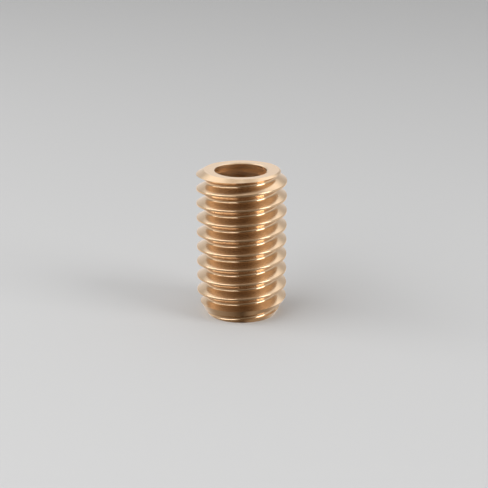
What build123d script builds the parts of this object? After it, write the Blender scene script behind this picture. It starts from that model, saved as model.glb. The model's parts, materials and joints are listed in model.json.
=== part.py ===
from build123d import *
import math
import os

# A brass thread adapter screw: a short tube with a coarse right-hand thread along its
# whole outside. Its bore is drilled to the tapping size of a finer inside thread, and
# that fine thread is left to the visual model.
# Millimetres. Z runs up the axis, and the origin is the middle of the lower end face.
# The side that faces the viewer is -Y.

length = 9.85

# The inside thread is M4 x 0.7.
inner_nominal = 4.0
inner_pitch = 0.7

# The brass left between the roots of the two threads. With this wall the outside
# thread comes out as M6 x 1, its crests 0.04 mm under the nominal 6 mm.
wall_between_threads = 0.367
outer_pitch = 1.0

# How far below the upper end face the groove's middle passes the viewer's side.
groove_drop = 0.5

# The end chamfers, each with its width along the radius and its angle from the face.
top_chamfer_width = 0.51
top_chamfer_angle = 30.0
base_chamfer_width = 0.68
base_chamfer_angle = 60.0

# The small edge break at each mouth of the bore.
mouth_width = 0.09
mouth_depth = 0.06

# How far the thread cutter reaches past the surface that it cuts into.
cutter_overlap = 0.03

# The outside thread has the ISO metric profile, a V of 60 degrees. The sharp V is as
# wide as the pitch. An eighth of it is cut off at the crests, and a sixth is left flat
# at the roots.
half_angle_slope = math.tan(math.radians(30))
crest_flat = outer_pitch / 8
root_flat = outer_pitch / 6
thread_depth = (outer_pitch - crest_flat - root_flat) / 2 / half_angle_slope

bore_radius = (inner_nominal - inner_pitch) / 2
root_radius = inner_nominal / 2 + wall_between_threads
crest_radius = root_radius + thread_depth

mouth_radius = bore_radius + mouth_width
top_face_radius = crest_radius - top_chamfer_width
top_chamfer_height = top_chamfer_width * math.tan(math.radians(top_chamfer_angle))
base_face_radius = crest_radius - base_chamfer_width
base_chamfer_height = base_chamfer_width * math.tan(math.radians(base_chamfer_angle))

# A turn of the groove begins at +X, a quarter of the pitch above the height at which it
# passed the viewer's side. The turns run from under the base to over the top.
groove_height_at_side = length - groove_drop + outer_pitch / 4
lowest_turn = groove_height_at_side % outer_pitch - 2 * outer_pitch
turn_count = math.ceil((length - lowest_turn) / outer_pitch) + 1

with BuildPart() as thread_adapter_screw:
    # The turned blank: tube, end chamfers and mouth edge breaks in one profile. It is
    # drawn at the back, so that its seam is clear of where the thread's turns join.
    with BuildSketch(Plane.YZ) as blank_profile:
        with BuildLine():
            Polyline(
                (mouth_radius, 0),
                (base_face_radius, 0),
                (crest_radius, base_chamfer_height),
                (crest_radius, length - top_chamfer_height),
                (top_face_radius, length),
                (mouth_radius, length),
                (bore_radius, length - mouth_depth),
                (bore_radius, mouth_depth),
                close=True,
            )
        make_face()
    revolve(axis=Axis.Z)

    # The outside thread: a V groove with a flat root, cut one turn after another.
    cutter_back = crest_radius + cutter_overlap
    cutter_half = root_flat / 2 + (cutter_back - root_radius) * half_angle_slope
    for turn in range(turn_count):
        height = lowest_turn + turn * outer_pitch
        with BuildLine() as turn_line:
            Helix(pitch=outer_pitch, height=outer_pitch, radius=crest_radius, center=(0, 0, height))
        with BuildSketch(Plane.XZ.shift_origin((0, 0, height))) as groove_profile:
            with BuildLine():
                Polyline(
                    (cutter_back, cutter_half),
                    (root_radius, root_flat / 2),
                    (root_radius, -root_flat / 2),
                    (cutter_back, -cutter_half),
                    close=True,
                )
            make_face()
        sweep(path=turn_line.line, is_frenet=True, mode=Mode.SUBTRACT)

thread_adapter_screw.part.label = "thread_adapter_screw"

os.makedirs("parts", exist_ok=True)
export_step(thread_adapter_screw.part, "parts/thread_adapter_screw.step")
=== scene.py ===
# %% [markdown]
# # A brass thread adapter screw
#
# The real object is a short brass tube, about 6 mm across and 10 mm tall. A coarse
# right-hand thread runs over its whole outside and a finer one through its bore, so
# that it joins two sizes of thread. It is turned from a bar, threaded, tapped and cut
# off, with a chamfer at each end.
#
# A measured solid model of it is already packed. This lesson loads that model as the
# frame, draws a finer skin over it with both threads, gives it the look of satin
# brass, and lights it as a studio would. Lengths are in metres, Z is up, and the
# viewer stands on the -Y side.

# %% Load the measured model
import json
import math
import bmesh
import bpy
import numpy as np
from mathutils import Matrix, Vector


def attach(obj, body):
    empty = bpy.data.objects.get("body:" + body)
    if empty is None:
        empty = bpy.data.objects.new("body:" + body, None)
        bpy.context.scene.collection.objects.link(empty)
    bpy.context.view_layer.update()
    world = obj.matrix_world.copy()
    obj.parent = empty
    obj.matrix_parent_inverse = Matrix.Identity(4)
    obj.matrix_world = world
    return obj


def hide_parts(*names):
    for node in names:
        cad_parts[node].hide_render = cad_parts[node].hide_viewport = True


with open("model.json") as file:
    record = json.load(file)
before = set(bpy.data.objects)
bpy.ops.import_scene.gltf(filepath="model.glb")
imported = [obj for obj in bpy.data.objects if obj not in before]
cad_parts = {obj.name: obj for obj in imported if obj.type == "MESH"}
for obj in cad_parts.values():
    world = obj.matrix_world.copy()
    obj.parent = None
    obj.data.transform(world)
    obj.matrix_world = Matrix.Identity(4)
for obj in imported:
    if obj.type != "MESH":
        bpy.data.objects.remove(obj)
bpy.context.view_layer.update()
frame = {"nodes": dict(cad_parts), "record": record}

# %% [markdown]
# ## Sizes
#
# The length, the crest radius and the edges of the two end faces are measured on the
# solid's own vertices, and the bore comes from the record of its inside thread. So the
# skin can't drift away from the model that it covers. The rest comes from the thread
# standards, apart from the rounding of the thread's corners and the tiny cones at the
# mouths of the bore, which are small guesses.

# %% Measure the solid model
mm = 0.001
solid = frame["nodes"]["thread_adapter_screw"]
mounts = {mount["name"]: mount for mount in frame["record"]["mounts"]}
corners = np.array([vertex.co for vertex in solid.data.vertices], float)
corner_radii = np.hypot(corners[:, 0], corners[:, 1])

base_height = corners[:, 2].min()
top_height = corners[:, 2].max()
crest_radius = corner_radii.max()
face_tolerance = 0.001 * mm
on_top = np.abs(corners[:, 2] - top_height) < face_tolerance
on_base = np.abs(corners[:, 2] - base_height) < face_tolerance
top_face_radius = corner_radii[on_top].max()
base_face_radius = corner_radii[on_base].max()
bore_radius = mounts["inside_thread"]["dims"]["r_mm"] * mm
print("crest, top face, base face and bore radius, mm:",
      [round(v / mm, 3) for v in (crest_radius, top_face_radius, base_face_radius, bore_radius)])

# %% [markdown]
# ## The two thread profiles
#
# Both threads have the metric profile, a V of 60 degrees, so each flank moves in by
# the square root of 3 for every step along the axis. Outside, the crest is a flat an
# eighth of the pitch wide and the root a flat a sixth of it wide, as in the solid
# model, and here their corners are rounded a little. Inside, the crest is what the
# drill left, and the root is a flat an eighth of the pitch wide. Each corner turns by
# 60 degrees, and the two shares say how far along the axis its arc reaches on either
# side of it, as parts of the arc's radius. Each profile is a function that gives the
# radius at a distance along the axis from the middle of a crest or of a groove.

# %% Write the thread profiles
flank_slope = math.sqrt(3)
outside_pitch = 1.0 * mm
inside_pitch = 0.7 * mm
inside_root_radius = bore_radius + inside_pitch / 2
inside_root_half = inside_pitch / 16

crest_half = outside_pitch / 16
root_half = outside_pitch / 12
root_radius = crest_radius - (outside_pitch / 2 - crest_half - root_half) * flank_slope
crest_round = 0.045 * mm
root_round = 0.08 * mm
corner_angle = 60
inset_share = math.tan(math.radians(corner_angle / 2))
reach_share = math.sin(math.radians(corner_angle)) - inset_share


def rounding(past_corner, round_radius):
    """How far a rounded corner has left its flat, at a distance past the sharp corner."""
    into = np.clip(past_corner + inset_share * round_radius, 0, round_radius)
    return round_radius - np.sqrt(round_radius ** 2 - into ** 2)


def outside_profile(from_crest):
    """Radius of the outside thread at a distance along the axis from a crest's middle."""
    past_crest = from_crest - crest_half
    past_root = outside_pitch / 2 - from_crest - root_half
    flank = crest_radius - past_crest * flank_slope
    crest = crest_radius - rounding(past_crest, crest_round)
    root = root_radius + rounding(past_root, root_round)
    radius = np.where(past_crest < reach_share * crest_round, crest, flank)
    return np.where(past_root < reach_share * root_round, root, radius)


def inside_profile(from_groove):
    """Radius of the inside thread at a distance along the axis from a groove's middle."""
    flank = inside_root_radius - (from_groove - inside_root_half) * flank_slope
    return np.clip(flank, bore_radius, inside_root_radius)


print("root radius outside and inside, mm:",
      round(root_radius / mm, 3), round(inside_root_radius / mm, 3))

# %% [markdown]
# ## Rows that follow the thread
#
# A grid mesh shades cleanly only where its lines lie along the form. So each row of
# points is a helix that keeps its place on the profile: some round each corner of a
# crest, some round each corner of a root, and one on each flank. The lists below give
# the places within one turn, as distances from the middle of a crest or of a groove.

# %% Place the rows on the profiles
corner_turns = [0, 20, 40, corner_angle]
round_shares = [math.sin(math.radians(turn)) - inset_share for turn in corner_turns]
crest_rows = [crest_half + crest_round * share for share in round_shares]
root_rows = [
    outside_pitch / 2 - root_half - root_round * share for share in reversed(round_shares)]
outside_flank_share = 0.85
flank_row = crest_rows[-1] + outside_flank_share * (root_rows[0] - crest_rows[-1])
half_turn = crest_rows + [flank_row] + root_rows
outside_rows = sorted([-row for row in half_turn] + half_turn + [outside_pitch / 2])

inside_flank_share = 0.55
inside_flank_end = inside_root_half + (inside_root_radius - bore_radius) / flank_slope
inside_half = [inside_root_half, inside_flank_end * inside_flank_share, inside_flank_end]
inside_rows = sorted([-row for row in inside_half] + inside_half + [0, inside_pitch / 2])
print("rows in each outside turn:", len(outside_rows), "and in each inside turn:", len(inside_rows))

# %% [markdown]
# ## One wall, column by column
#
# The wall is drawn as columns of points that stand round the axis. From one column to
# the next the thread rises by a small share of its pitch. Two things limit it. Its
# height stops at the end faces, and its radius stops at the chamfer cones, or inside
# the bore at the small cones of the mouths. Where the thread runs into a cone there is
# a sharp edge, so the row nearest to that place moves onto it. Without this step the
# edge would look like a saw.

# %% Write the wall builder
column_count = 240
turn_angles = np.linspace(0, 2 * math.pi, column_count + 1)
halvings = 30


def wall(rows, pitch, top_place, profile, cone, inner):
    """Heights, radii and sharp-edge flags of the points of a threaded wall, by column.

    top_place is the height at the viewer's side of a crest outside, or of a groove inside.
    """
    turns = math.ceil((top_height - base_height) / pitch) + 2
    places = np.concatenate([np.array(rows) - turn * pitch for turn in range(turns, -1, -1)])
    middle = top_place + pitch * turn_angles[:, None] / (2 * math.pi)
    heights = np.clip(middle + places[None, :], base_height, top_height)

    def thread(height, column_middle):
        along = np.mod(height - column_middle + pitch / 2, pitch) - pitch / 2
        return profile(np.abs(along))

    gap = thread(heights, middle) - cone(heights)
    column, row = np.nonzero(gap[:, :-1] * gap[:, 1:] < 0)
    low, high = heights[column, row], heights[column, row + 1]
    column_middle = middle[column, 0]
    low_sign = np.sign(gap[column, row])
    for _ in range(halvings):
        half = (low + high) / 2
        same = np.sign(thread(half, column_middle) - cone(half)) == low_sign
        low, high = np.where(same, half, low), np.where(same, high, half)
    nearer_high = heights[column, row + 1] - low < low - heights[column, row]
    heights[column, row + nearer_high] = low
    on_edge = np.zeros(heights.shape, bool)
    on_edge[column, row + nearer_high] = True
    limit = np.maximum if inner else np.minimum
    return heights, limit(thread(heights, middle), cone(heights)), on_edge


print("columns round the axis:", column_count)

# %% [markdown]
# ## The end chamfers and the mouths
#
# The upper end has a flat chamfer, 30 degrees from its face. The end that it stands on
# has a steeper and longer one, 60 degrees from its face, which turns the last thread
# into a plain collar. Each mouth of the bore has its sharp edge broken by a tiny cone.
# Outside, a cone cuts the thread down, and inside it opens the bore up.

# %% Build both walls
top_chamfer_angle = 30
base_chamfer_angle = 60
top_chamfer_slope = math.tan(math.radians(top_chamfer_angle))
base_chamfer_slope = math.tan(math.radians(base_chamfer_angle))
mouth_width = 0.09 * mm
mouth_depth = 0.06 * mm


def end_chamfers(height):
    """The largest radius that the two end chamfers leave at a height."""
    top = top_face_radius + (top_height - height) / top_chamfer_slope
    base = base_face_radius + (height - base_height) / base_chamfer_slope
    return np.minimum(top, base)


def mouths(height):
    """The smallest radius that the two mouths leave at a height."""
    depth = np.minimum(top_height - height, height - base_height)
    return bore_radius + mouth_width * (1 - depth / mouth_depth)


outer_heights, outer_radii, outer_edge = wall(
    outside_rows, outside_pitch, top_height, outside_profile, end_chamfers, inner=False)
inner_heights, inner_radii, inner_edge = wall(
    inside_rows, inside_pitch, top_height, inside_profile, mouths, inner=True)
print("outer wall, points in a column:", outer_heights.shape[1])
print("inner wall, points in a column:", inner_heights.shape[1])

# %% [markdown]
# ## Points of the skin
#
# Each column runs up the outside, over the upper face, down the bore and back over the
# lower face, so it is a closed outline of the wall. The last column stands where the
# first one does, with the thread one turn further on.

# %% Put the columns together
face_steps = np.array([1, 2]) / 3


def face_rows(from_radii, to_radii, height):
    """Points across an end face, from one rim to the other."""
    radii = from_radii[:, None] + (to_radii - from_radii)[:, None] * face_steps[None, :]
    return np.full_like(radii, height), radii, np.zeros(radii.shape, bool)


top_heights, top_radii, top_edge = face_rows(outer_radii[:, -1], inner_radii[:, -1], top_height)
foot_heights, foot_radii, foot_edge = face_rows(inner_radii[:, 0], outer_radii[:, 0], base_height)
all_heights = np.hstack([outer_heights, top_heights, inner_heights[:, ::-1], foot_heights])
all_radii = np.hstack([outer_radii, top_radii, inner_radii[:, ::-1], foot_radii])
all_edge = np.hstack([outer_edge, top_edge, inner_edge[:, ::-1], foot_edge])
row_count = all_heights.shape[1]

angles = turn_angles[:, None]
points = np.stack([all_radii * np.sin(angles), -all_radii * np.cos(angles), all_heights], axis=-1)
print("points:", points.shape[0] * points.shape[1])

# %% [markdown]
# ## Faces of the skin
#
# Four neighbouring points make a face. Where a sharp edge steps from one row to the
# next, it crosses such a face from corner to corner, so that face is split into two
# triangles along the edge. The faces of the bore get a number of their own, because
# a tapped hole has a duller finish than a turned outside, and because the bore's
# colour is painted paler, a painted lightening of that deep hollow.

# %% Join the points
column_index, row_index = np.meshgrid(np.arange(column_count), np.arange(row_count), indexing="ij")
next_row = (row_index + 1) % row_count
near_low = column_index * row_count + row_index
far_low = near_low + row_count
near_high = column_index * row_count + next_row
far_high = near_high + row_count
edge_flags = all_edge.reshape(-1)
rising = edge_flags[near_low] & edge_flags[far_high]
falling = edge_flags[far_low] & edge_flags[near_high] & ~rising
plain = ~rising & ~falling
first_bore_row = outer_heights.shape[1] + len(face_steps)
in_bore = (row_index >= first_bore_row) & (row_index < first_bore_row + inner_heights.shape[1] - 1)

faces, bore_flags = [], []
for where, corner_lists in (
        (plain, [(near_low, far_low, far_high, near_high)]),
        (rising, [(near_low, far_low, far_high), (near_low, far_high, near_high)]),
        (falling, [(near_low, far_low, near_high), (far_low, far_high, near_high)])):
    for corner_list in corner_lists:
        faces += np.stack([corner[where] for corner in corner_list], axis=-1).tolist()
        bore_flags += in_bore[where].astype(int).tolist()
print("faces split along an edge:", int(rising.sum() + falling.sum()))

# %% [markdown]
# ## Closing the skin
#
# Merging points that lie at the same place welds the seam, and it also removes the
# points that were pushed together onto the end faces. Then every edge that turns by
# more than 25 degrees is marked sharp, and all others shade smoothly.

# %% Weld and shade the skin
sharp_angle = math.radians(25)
weld_distance = 0.0001 * mm
skin_mesh = bpy.data.meshes.new("thread_adapter_screw_skin")
skin_mesh.from_pydata(points.reshape(-1, 3).tolist(), [], faces)
skin_mesh.polygons.foreach_set("material_index", bore_flags)
weld = bmesh.new()
weld.from_mesh(skin_mesh)
bmesh.ops.remove_doubles(weld, verts=weld.verts, dist=weld_distance)
bmesh.ops.dissolve_degenerate(weld, edges=weld.edges, dist=weld_distance)
open_edges = sum(1 for edge in weld.edges if not edge.is_manifold)
weld.to_mesh(skin_mesh)
weld.free()
skin_mesh.shade_smooth()
skin_mesh.set_sharp_from_angle(angle=sharp_angle)

skin = bpy.data.objects.new("thread_adapter_screw_skin", skin_mesh)
bpy.context.scene.collection.objects.link(skin)
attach(skin, "root")
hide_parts("thread_adapter_screw")
skin_mesh.calc_loop_triangles()
print("skin triangles:", len(skin_mesh.loop_triangles), "edges left open:", open_edges)

# %% [markdown]
# ## Satin brass
#
# A lathe leaves fine rings round a turned part, too small to see one by one. They
# spread each highlight across the rings, which is what anisotropy does. The tangent
# goes round the Z axis to say which way the rings run. Brass has no paint, so all its
# colour is in the metal, and its base colour is what it reflects.

# %% Make the brass
brass_color = (0.84, 0.61, 0.40, 1)
brass = bpy.data.materials.new("brass")
brass.use_nodes = True
nodes, links = brass.node_tree.nodes, brass.node_tree.links
shader = nodes["Principled BSDF"]
shader.inputs["Base Color"].default_value = brass_color
shader.inputs["Metallic"].default_value = 1.0
shader.inputs["Roughness"].default_value = 0.18
shader.inputs["Anisotropic"].default_value = 0.7
shader.inputs["Anisotropic Rotation"].default_value = 0.25
tangent = nodes.new("ShaderNodeTangent")
tangent.direction_type = "RADIAL"
tangent.axis = "Z"
links.new(tangent.outputs["Tangent"], shader.inputs["Tangent"])
print("brass base colour:", brass_color[:3])

# %% [markdown]
# ## Turning marks
#
# The tool leaves rings of slightly different depth. A noise that changes fast with
# height and radius, and not at all round the axis, gives such rings. It feeds a bump
# of a fraction of a micrometre, so it shows as faint streaks in the highlights.

# %% Add the turning marks
ring_spacing = 0.06 * mm
ring_depth = 0.002 * mm
ring_strength = 0.35


def math_node(operation, *values):
    """The result of a math node on other nodes' outputs."""
    node = nodes.new("ShaderNodeMath")
    node.operation = operation
    for place, value in enumerate(values):
        links.new(value, node.inputs[place])
    return node.outputs["Value"]


position = nodes.new("ShaderNodeTexCoord")
parts = nodes.new("ShaderNodeSeparateXYZ")
links.new(position.outputs["Object"], parts.inputs["Vector"])
x, y, z = parts.outputs
radius = math_node("SQRT", math_node("MULTIPLY_ADD", y, y, math_node("MULTIPLY", x, x)))
ring_place = nodes.new("ShaderNodeCombineXYZ")
links.new(radius, ring_place.inputs["X"])
links.new(z, ring_place.inputs["Y"])
rings = nodes.new("ShaderNodeTexNoise")
rings.noise_dimensions = "2D"
rings.inputs["Scale"].default_value = 1 / ring_spacing
rings.inputs["Detail"].default_value = 2.0
links.new(ring_place.outputs["Vector"], rings.inputs["Vector"])
bump = nodes.new("ShaderNodeBump")
bump.inputs["Strength"].default_value = ring_strength
bump.inputs["Distance"].default_value = ring_depth
links.new(rings.outputs["Fac"], bump.inputs["Height"])
links.new(bump.outputs["Normal"], shader.inputs["Normal"])
print("rings about every", round(ring_spacing / mm, 3), "mm")

# %% [markdown]
# ## The tapped bore
#
# A tap tears the metal a little as it cuts, so the walls of the bore are duller than
# the turned outside. A copy of the brass with more roughness and no clear direction
# is enough. Its base colour is also painted paler, as painted light. Light reaches the
# bore only after several bounces and each one darkens it, and the thread in there
# should still read.

# %% Make the bore's brass and use both
# Painted lightening: the bore's base colour is paler than the brass only to stand in for light that
# the deep bore gets too little of.
bore_painted_paler_color = (0.90, 0.69, 0.48, 1)
bore_brass = brass.copy()
bore_brass.name = "bore_brass"
bore_shader = bore_brass.node_tree.nodes["Principled BSDF"]
bore_shader.inputs["Base Color"].default_value = bore_painted_paler_color
bore_shader.inputs["Roughness"].default_value = 0.27
bore_shader.inputs["Anisotropic"].default_value = 0.0
skin_mesh.materials.append(brass)
skin_mesh.materials.append(bore_brass)
print("materials on the skin:", [material.name for material in skin_mesh.materials])

# %% [markdown]
# ## Floor
#
# The screw stands on a plain pale floor, which runs so far back that it is also the
# background. It is matt, so it only takes a soft shadow.

# %% Make the floor
floor_half = 1.5
floor_grey = 0.62
floor_mesh = bpy.data.meshes.new("floor")
floor_mesh.from_pydata(
    [(-floor_half, -floor_half, base_height), (floor_half, -floor_half, base_height),
     (floor_half, floor_half, base_height), (-floor_half, floor_half, base_height)],
    [], [(0, 1, 2, 3)])
floor = bpy.data.objects.new("floor", floor_mesh)
bpy.context.scene.collection.objects.link(floor)
floor_paint = bpy.data.materials.new("floor_paint")
floor_paint.use_nodes = True
floor_shader = floor_paint.node_tree.nodes["Principled BSDF"]
floor_shader.inputs["Base Color"].default_value = (floor_grey, floor_grey, floor_grey, 1)
floor_shader.inputs["Roughness"].default_value = 0.8
floor_shader.inputs["Specular IOR Level"].default_value = 0.2
floor_mesh.materials.append(floor_paint)
floor.visible_glossy = False
print("floor, m:", 2 * floor_half)

# %% [markdown]
# ## Lamps
#
# Metal shows what stands round it, so its look is made by the lamps' shapes. A wide
# soft box on the left draws the thin bright line along the bottom of every groove. A
# narrow upright one on the right draws the short hot highlights. A helper places a
# lamp by its direction from the screw and its angular size, aims it, and sets its
# power from the brightness that a mirror would show, where 1 is white.

# %% Place the lamps
screw_middle = Vector((0, 0, (base_height + top_height) / 2))
lamp_distance = 0.20


def soft_box(name, azimuth, elevation, wide, tall, brightness):
    """A soft box, its direction and size as seen from the screw, in degrees.

    Azimuth 0 is the viewer's side, and 90 the right.
    """
    a, e = math.radians(azimuth), math.radians(elevation)
    lamp = bpy.data.lights.new(name, "AREA")
    lamp.shape = "RECTANGLE"
    lamp.size = 2 * lamp_distance * math.tan(math.radians(wide / 2))
    lamp.size_y = 2 * lamp_distance * math.tan(math.radians(tall / 2))
    lamp.energy = brightness * math.pi * lamp.size * lamp.size_y
    holder = bpy.data.objects.new(name, lamp)
    toward = Vector((math.sin(a) * math.cos(e), -math.cos(a) * math.cos(e), math.sin(e)))
    holder.location = screw_middle + lamp_distance * toward
    holder.rotation_euler = toward.to_track_quat("Z", "Y").to_euler()
    bpy.context.scene.collection.objects.link(holder)
    print(name, "size, m:", round(lamp.size, 3), round(lamp.size_y, 3),
          "watts:", round(lamp.energy, 3))


soft_box("left_box", azimuth=-66, elevation=36, wide=82, tall=30, brightness=3.0)
soft_box("right_strip", azimuth=62, elevation=24, wide=26, tall=52, brightness=3.4)

# %% [markdown]
# ## What the metal sees of the room
#
# The dark vertical band down the front is the unlit room behind the camera, and the
# pale sides are the walls behind the screw. A colour ramp gives each direction its
# brightness, from a factor that runs round the horizon or from straight down to
# straight up. All of this is seen only in reflections, and the floor gets plain even
# light.

# %% Write the ramp helper
world = bpy.data.worlds.new("studio")
world.use_nodes = True
bpy.context.scene.world = world
world_nodes, world_links = world.node_tree.nodes, world.node_tree.links


def room_ramp(factor, stops):
    """A colour ramp on a factor from 0 to 1.

    Each stop has a position, a brightness and a warmth.
    """
    ramp = world_nodes.new("ShaderNodeValToRGB")
    elements = ramp.color_ramp.elements
    while len(elements) < len(stops):
        elements.new(position=0.5)
    for element, (position, _, _) in zip(elements, stops):
        element.position = position
    for element, (_, grey, warmth) in zip(elements, stops):
        element.color = (grey, grey * (1 - warmth / 2), grey * (1 - warmth), 1)
    world_links.new(factor, ramp.inputs["Fac"])
    return ramp.outputs["Color"]


print("the ramps take brightness from 0, black, to 1, white")

# %% [markdown]
# ## The room's walls, table and ceiling
#
# The lists run from the back, past the left, the viewer's side and the right, to the
# back again, or from down to up. The walls are the product of two ramps: darker low
# down, and brightest high up, where the chamfer of the upper end mirrors them. The
# table is a pale edge a little under the horizon, which the crests mirror, and the
# ceiling draws a thin line on their upper corners. Where two overlap, the brighter one
# shows. The direction of a ray is turned by a quarter, so that the radial gradient has
# its seam at the back, where both ends of each list are equal.

# %% Build the room
room_by_azimuth = [
    (-180, 0.92, 0), (-146, 0.56, 0), (-125, 0.46, 0), (-100, 0.42, 0.1), (-78, 0.30, 0.2),
    (-52, 0.21, 0.3), (-26, 0.13, 0.4), (0, 0.08, 0.5), (22, 0.10, 0.4), (43, 0.20, 0.3),
    (58, 0.32, 0.2), (70, 0.52, 0.1), (86, 0.48, 0.1), (115, 0.42, 0), (138, 0.58, 0),
    (156, 0.56, 0), (180, 0.92, 0)]
room_by_elevation = [
    (-90, 0.30, 0.3), (-52, 0.34, 0.3), (-38, 0.45, 0.1), (25, 0.45, 0), (42, 1.0, 0),
    (60, 1.0, 0), (74, 0.42, 0), (90, 0.36, 0)]
table_by_azimuth = [
    (-180, 0.40, 0.2), (-100, 0.40, 0.2), (-52, 0.24, 0.2), (-26, 0.18, 0.3), (0, 0.14, 0.3),
    (22, 0.15, 0.3), (36, 0.24, 0.2), (46, 0.34, 0.1), (62, 0.34, 0.1), (82, 0.36, 0.1),
    (115, 0.38, 0.1), (180, 0.40, 0.2)]
table_by_elevation = [(-23, 0, 0), (-20, 1, 0), (-11, 1, 0), (-5, 0, 0)]
ceiling_by_elevation = [(48, 0, 0), (60, 0.28, 0.2), (90, 0.28, 0.2)]

direction = world_nodes.new("ShaderNodeTexCoord")
quarter = world_nodes.new("ShaderNodeMapping")
quarter.inputs["Rotation"].default_value = (0, 0, math.radians(90))
world_links.new(direction.outputs["Generated"], quarter.inputs["Vector"])
round_horizon = world_nodes.new("ShaderNodeTexGradient")
round_horizon.gradient_type = "RADIAL"
world_links.new(quarter.outputs["Vector"], round_horizon.inputs["Vector"])


def round_ramp(stops):
    """A ramp round the horizon, its stops given by azimuth in degrees."""
    return room_ramp(
        round_horizon.outputs["Fac"],
        [(azimuth / 360 + 0.5, grey, warmth) for azimuth, grey, warmth in stops])


split = world_nodes.new("ShaderNodeSeparateXYZ")
world_links.new(direction.outputs["Generated"], split.inputs["Vector"])
height_share = world_nodes.new("ShaderNodeMapRange")
height_share.inputs["From Min"].default_value = -1
world_links.new(split.outputs["Z"], height_share.inputs["Value"])


def up_ramp(stops):
    """A ramp from straight down to straight up, its stops given by elevation in degrees."""
    return room_ramp(
        height_share.outputs["Result"],
        [((math.sin(math.radians(elevation)) + 1) / 2, grey, warmth)
         for elevation, grey, warmth in stops])


def mix(blend, first, second):
    """Both colours joined by a blend mode."""
    node = world_nodes.new("ShaderNodeMix")
    node.data_type = "RGBA"
    node.blend_type = blend
    node.inputs["Factor"].default_value = 1
    world_links.new(first, node.inputs["A"])
    world_links.new(second, node.inputs["B"])
    return node.outputs["Result"]


walls = mix("MULTIPLY", round_ramp(room_by_azimuth), up_ramp(room_by_elevation))
table = mix("MULTIPLY", round_ramp(table_by_azimuth), up_ramp(table_by_elevation))
room = mix("LIGHTEN", mix("LIGHTEN", walls, table), up_ramp(ceiling_by_elevation))
print("stops of the walls, round the horizon and from down to up:",
      len(room_by_azimuth), len(room_by_elevation))

# %% [markdown]
# ## Even light for the floor
#
# A light path switch shows the room to mirror rays only. All other rays meet an even
# pale grey, which fills the shadow softly.

# %% Join the room and the even light
even_grey = 0.50
room_strength = 2.2
even_light = world_nodes["Background"]
even_light.inputs["Color"].default_value = (even_grey, even_grey, even_grey, 1)
room_light = world_nodes.new("ShaderNodeBackground")
world_links.new(room, room_light.inputs["Color"])
room_light.inputs["Strength"].default_value = room_strength
ray = world_nodes.new("ShaderNodeLightPath")
choose = world_nodes.new("ShaderNodeMixShader")
world_links.new(ray.outputs["Is Glossy Ray"], choose.inputs["Fac"])
world_links.new(even_light.outputs["Background"], choose.inputs[1])
world_links.new(room_light.outputs["Background"], choose.inputs[2])
world_links.new(choose.outputs["Shader"], world_nodes["World Output"].inputs["Surface"])
print("even light:", even_grey)

# %% [markdown]
# ## Camera
#
# The camera looks down at the screw by 18 degrees from a short distance, as the
# picture was taken, so the lower turns look a little smaller than the upper ones.

# %% Place the camera
camera_elevation = math.radians(18.11)
camera_distance = 86.39 * mm
aim_side = 0.1565 * mm
aim_height = 4.721 * mm
lens_length = 95.81
sensor_width = 36
aim = Vector((aim_side, 0, base_height + aim_height))
camera = bpy.data.cameras.new("camera")
camera.lens = lens_length
camera.sensor_width = sensor_width
camera.clip_start = 0.001
camera.clip_end = 10
camera_holder = bpy.data.objects.new("camera", camera)
toward_viewer = Vector((0, -math.cos(camera_elevation), math.sin(camera_elevation)))
camera_holder.location = aim + camera_distance * toward_viewer
camera_holder.rotation_euler = (math.pi / 2 - camera_elevation, 0, 0)
bpy.context.scene.collection.objects.link(camera_holder)
bpy.context.scene.camera = camera_holder
bpy.context.scene.view_settings.view_transform = "Standard"
print("camera at, mm:", [round(v / mm, 2) for v in camera_holder.location])
